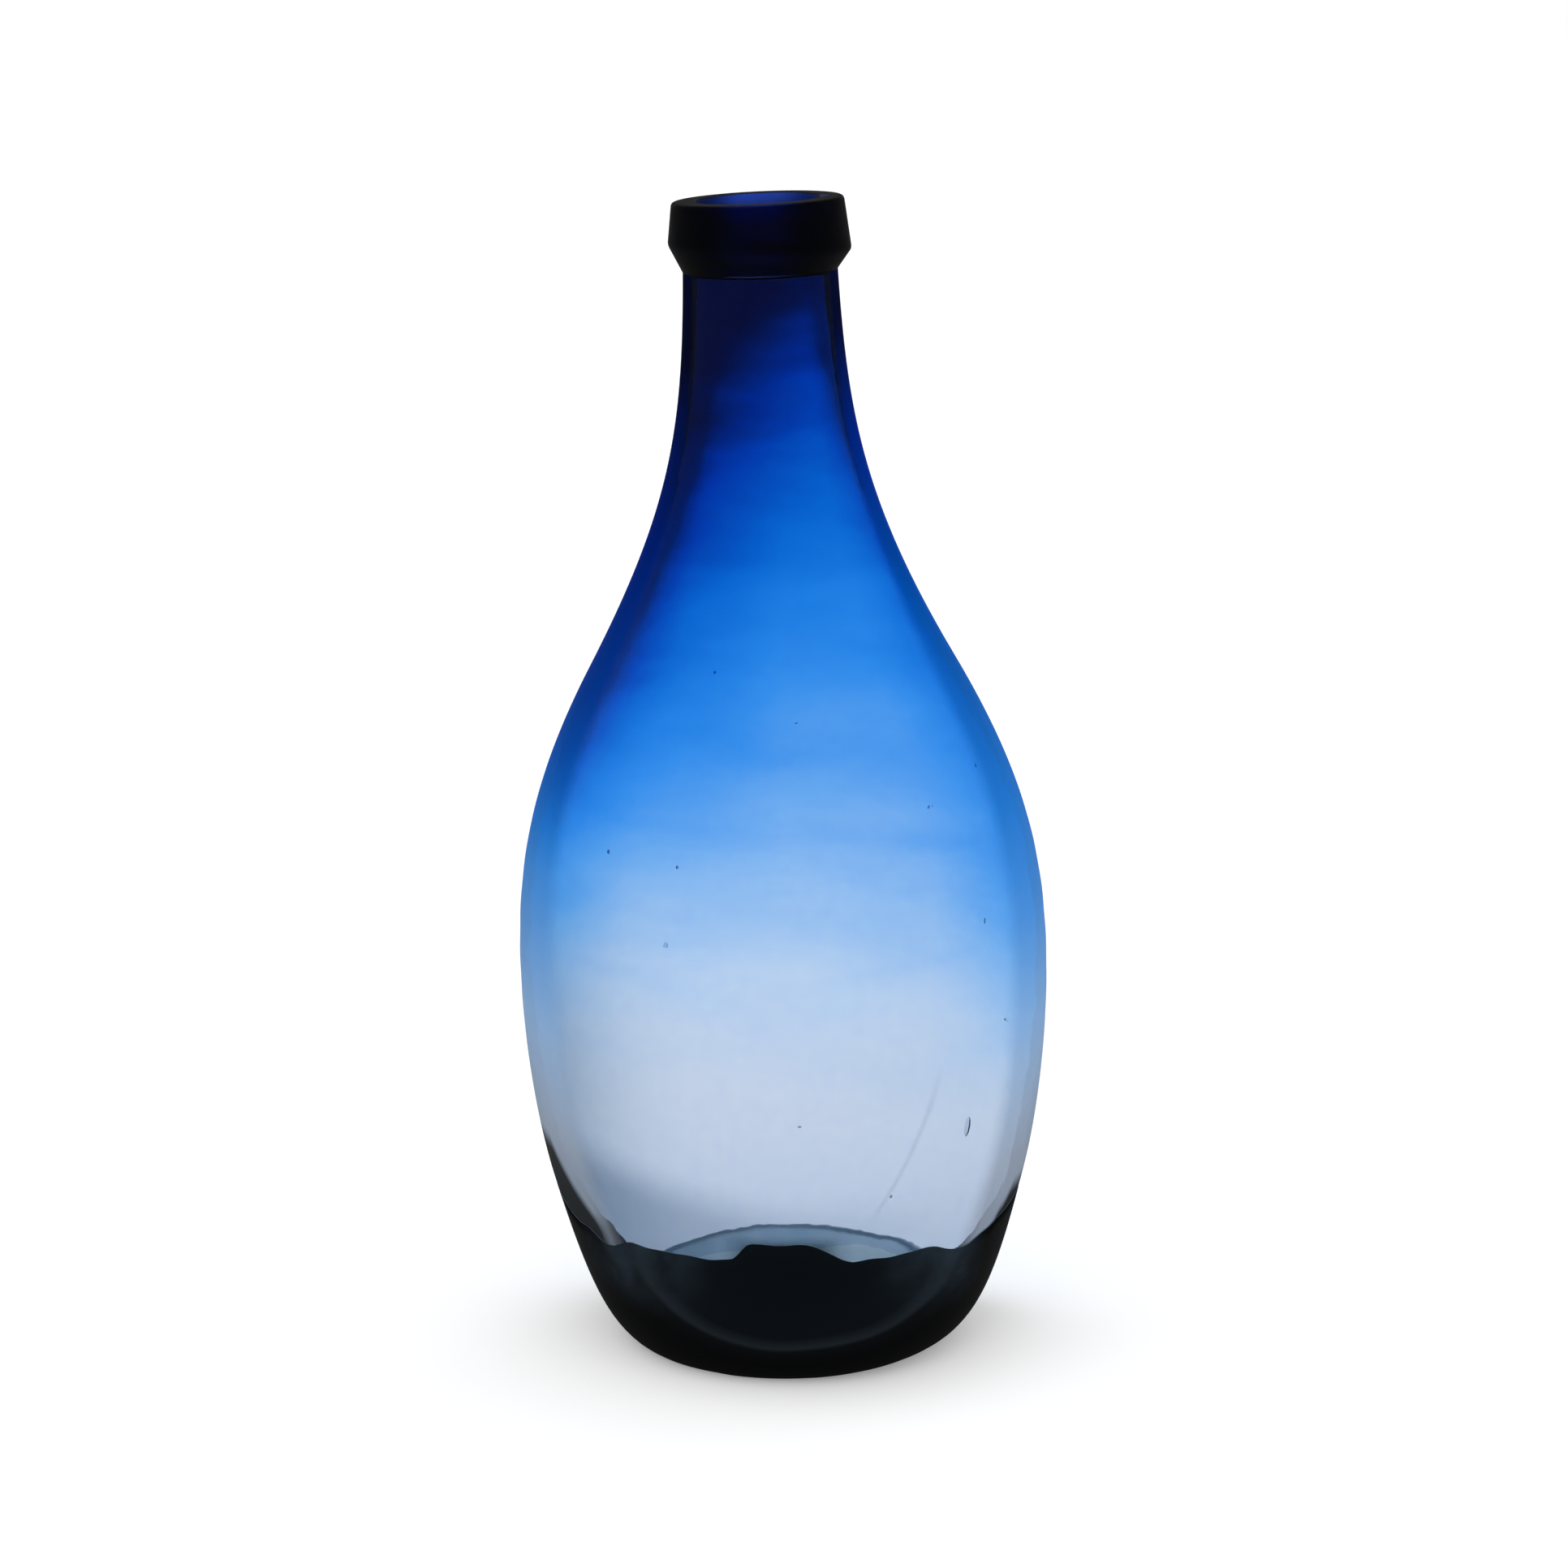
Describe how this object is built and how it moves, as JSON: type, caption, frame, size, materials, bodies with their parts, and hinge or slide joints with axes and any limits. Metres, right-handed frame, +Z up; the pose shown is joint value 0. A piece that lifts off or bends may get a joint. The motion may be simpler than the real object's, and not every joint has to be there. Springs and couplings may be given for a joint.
{
  "type": "blown glass bottle",
  "caption": "Free-blown glass bottle with a long neck, collar lip, cobalt shading to pale glass and a heavy dark foot.",
  "frame": {"origin": "on the resting plane, under the middle of the belly", "axes": "+Z up along the bottle's height; the axis leans 1.8 degrees towards -X; -Y is the side that the camera faces"},
  "size_m": [0.1255, 0.1254, 0.2744],
  "materials": {
    "collar_glass": "dense cobalt glass, fire-polished, all but black",
    "cobalt_glass": "cobalt glass, thick and dark at the neck, thinning to nothing over the belly",
    "pale_glass": "pale blue-grey glass with seeds and faint blowing lines",
    "smoke_glass": "smoke-dark glass, near black where it is thick",
    "scar_glass": "broken glass, rough and matt"
  },
  "bodies": {
    "root": {"applied_lip": "collar_glass", "cobalt_casing": "cobalt_glass", "clear_gather": "pale_glass", "smoke_pad": "smoke_glass", "pontil_scar": "scar_glass"}
  },
  "joints": []
}
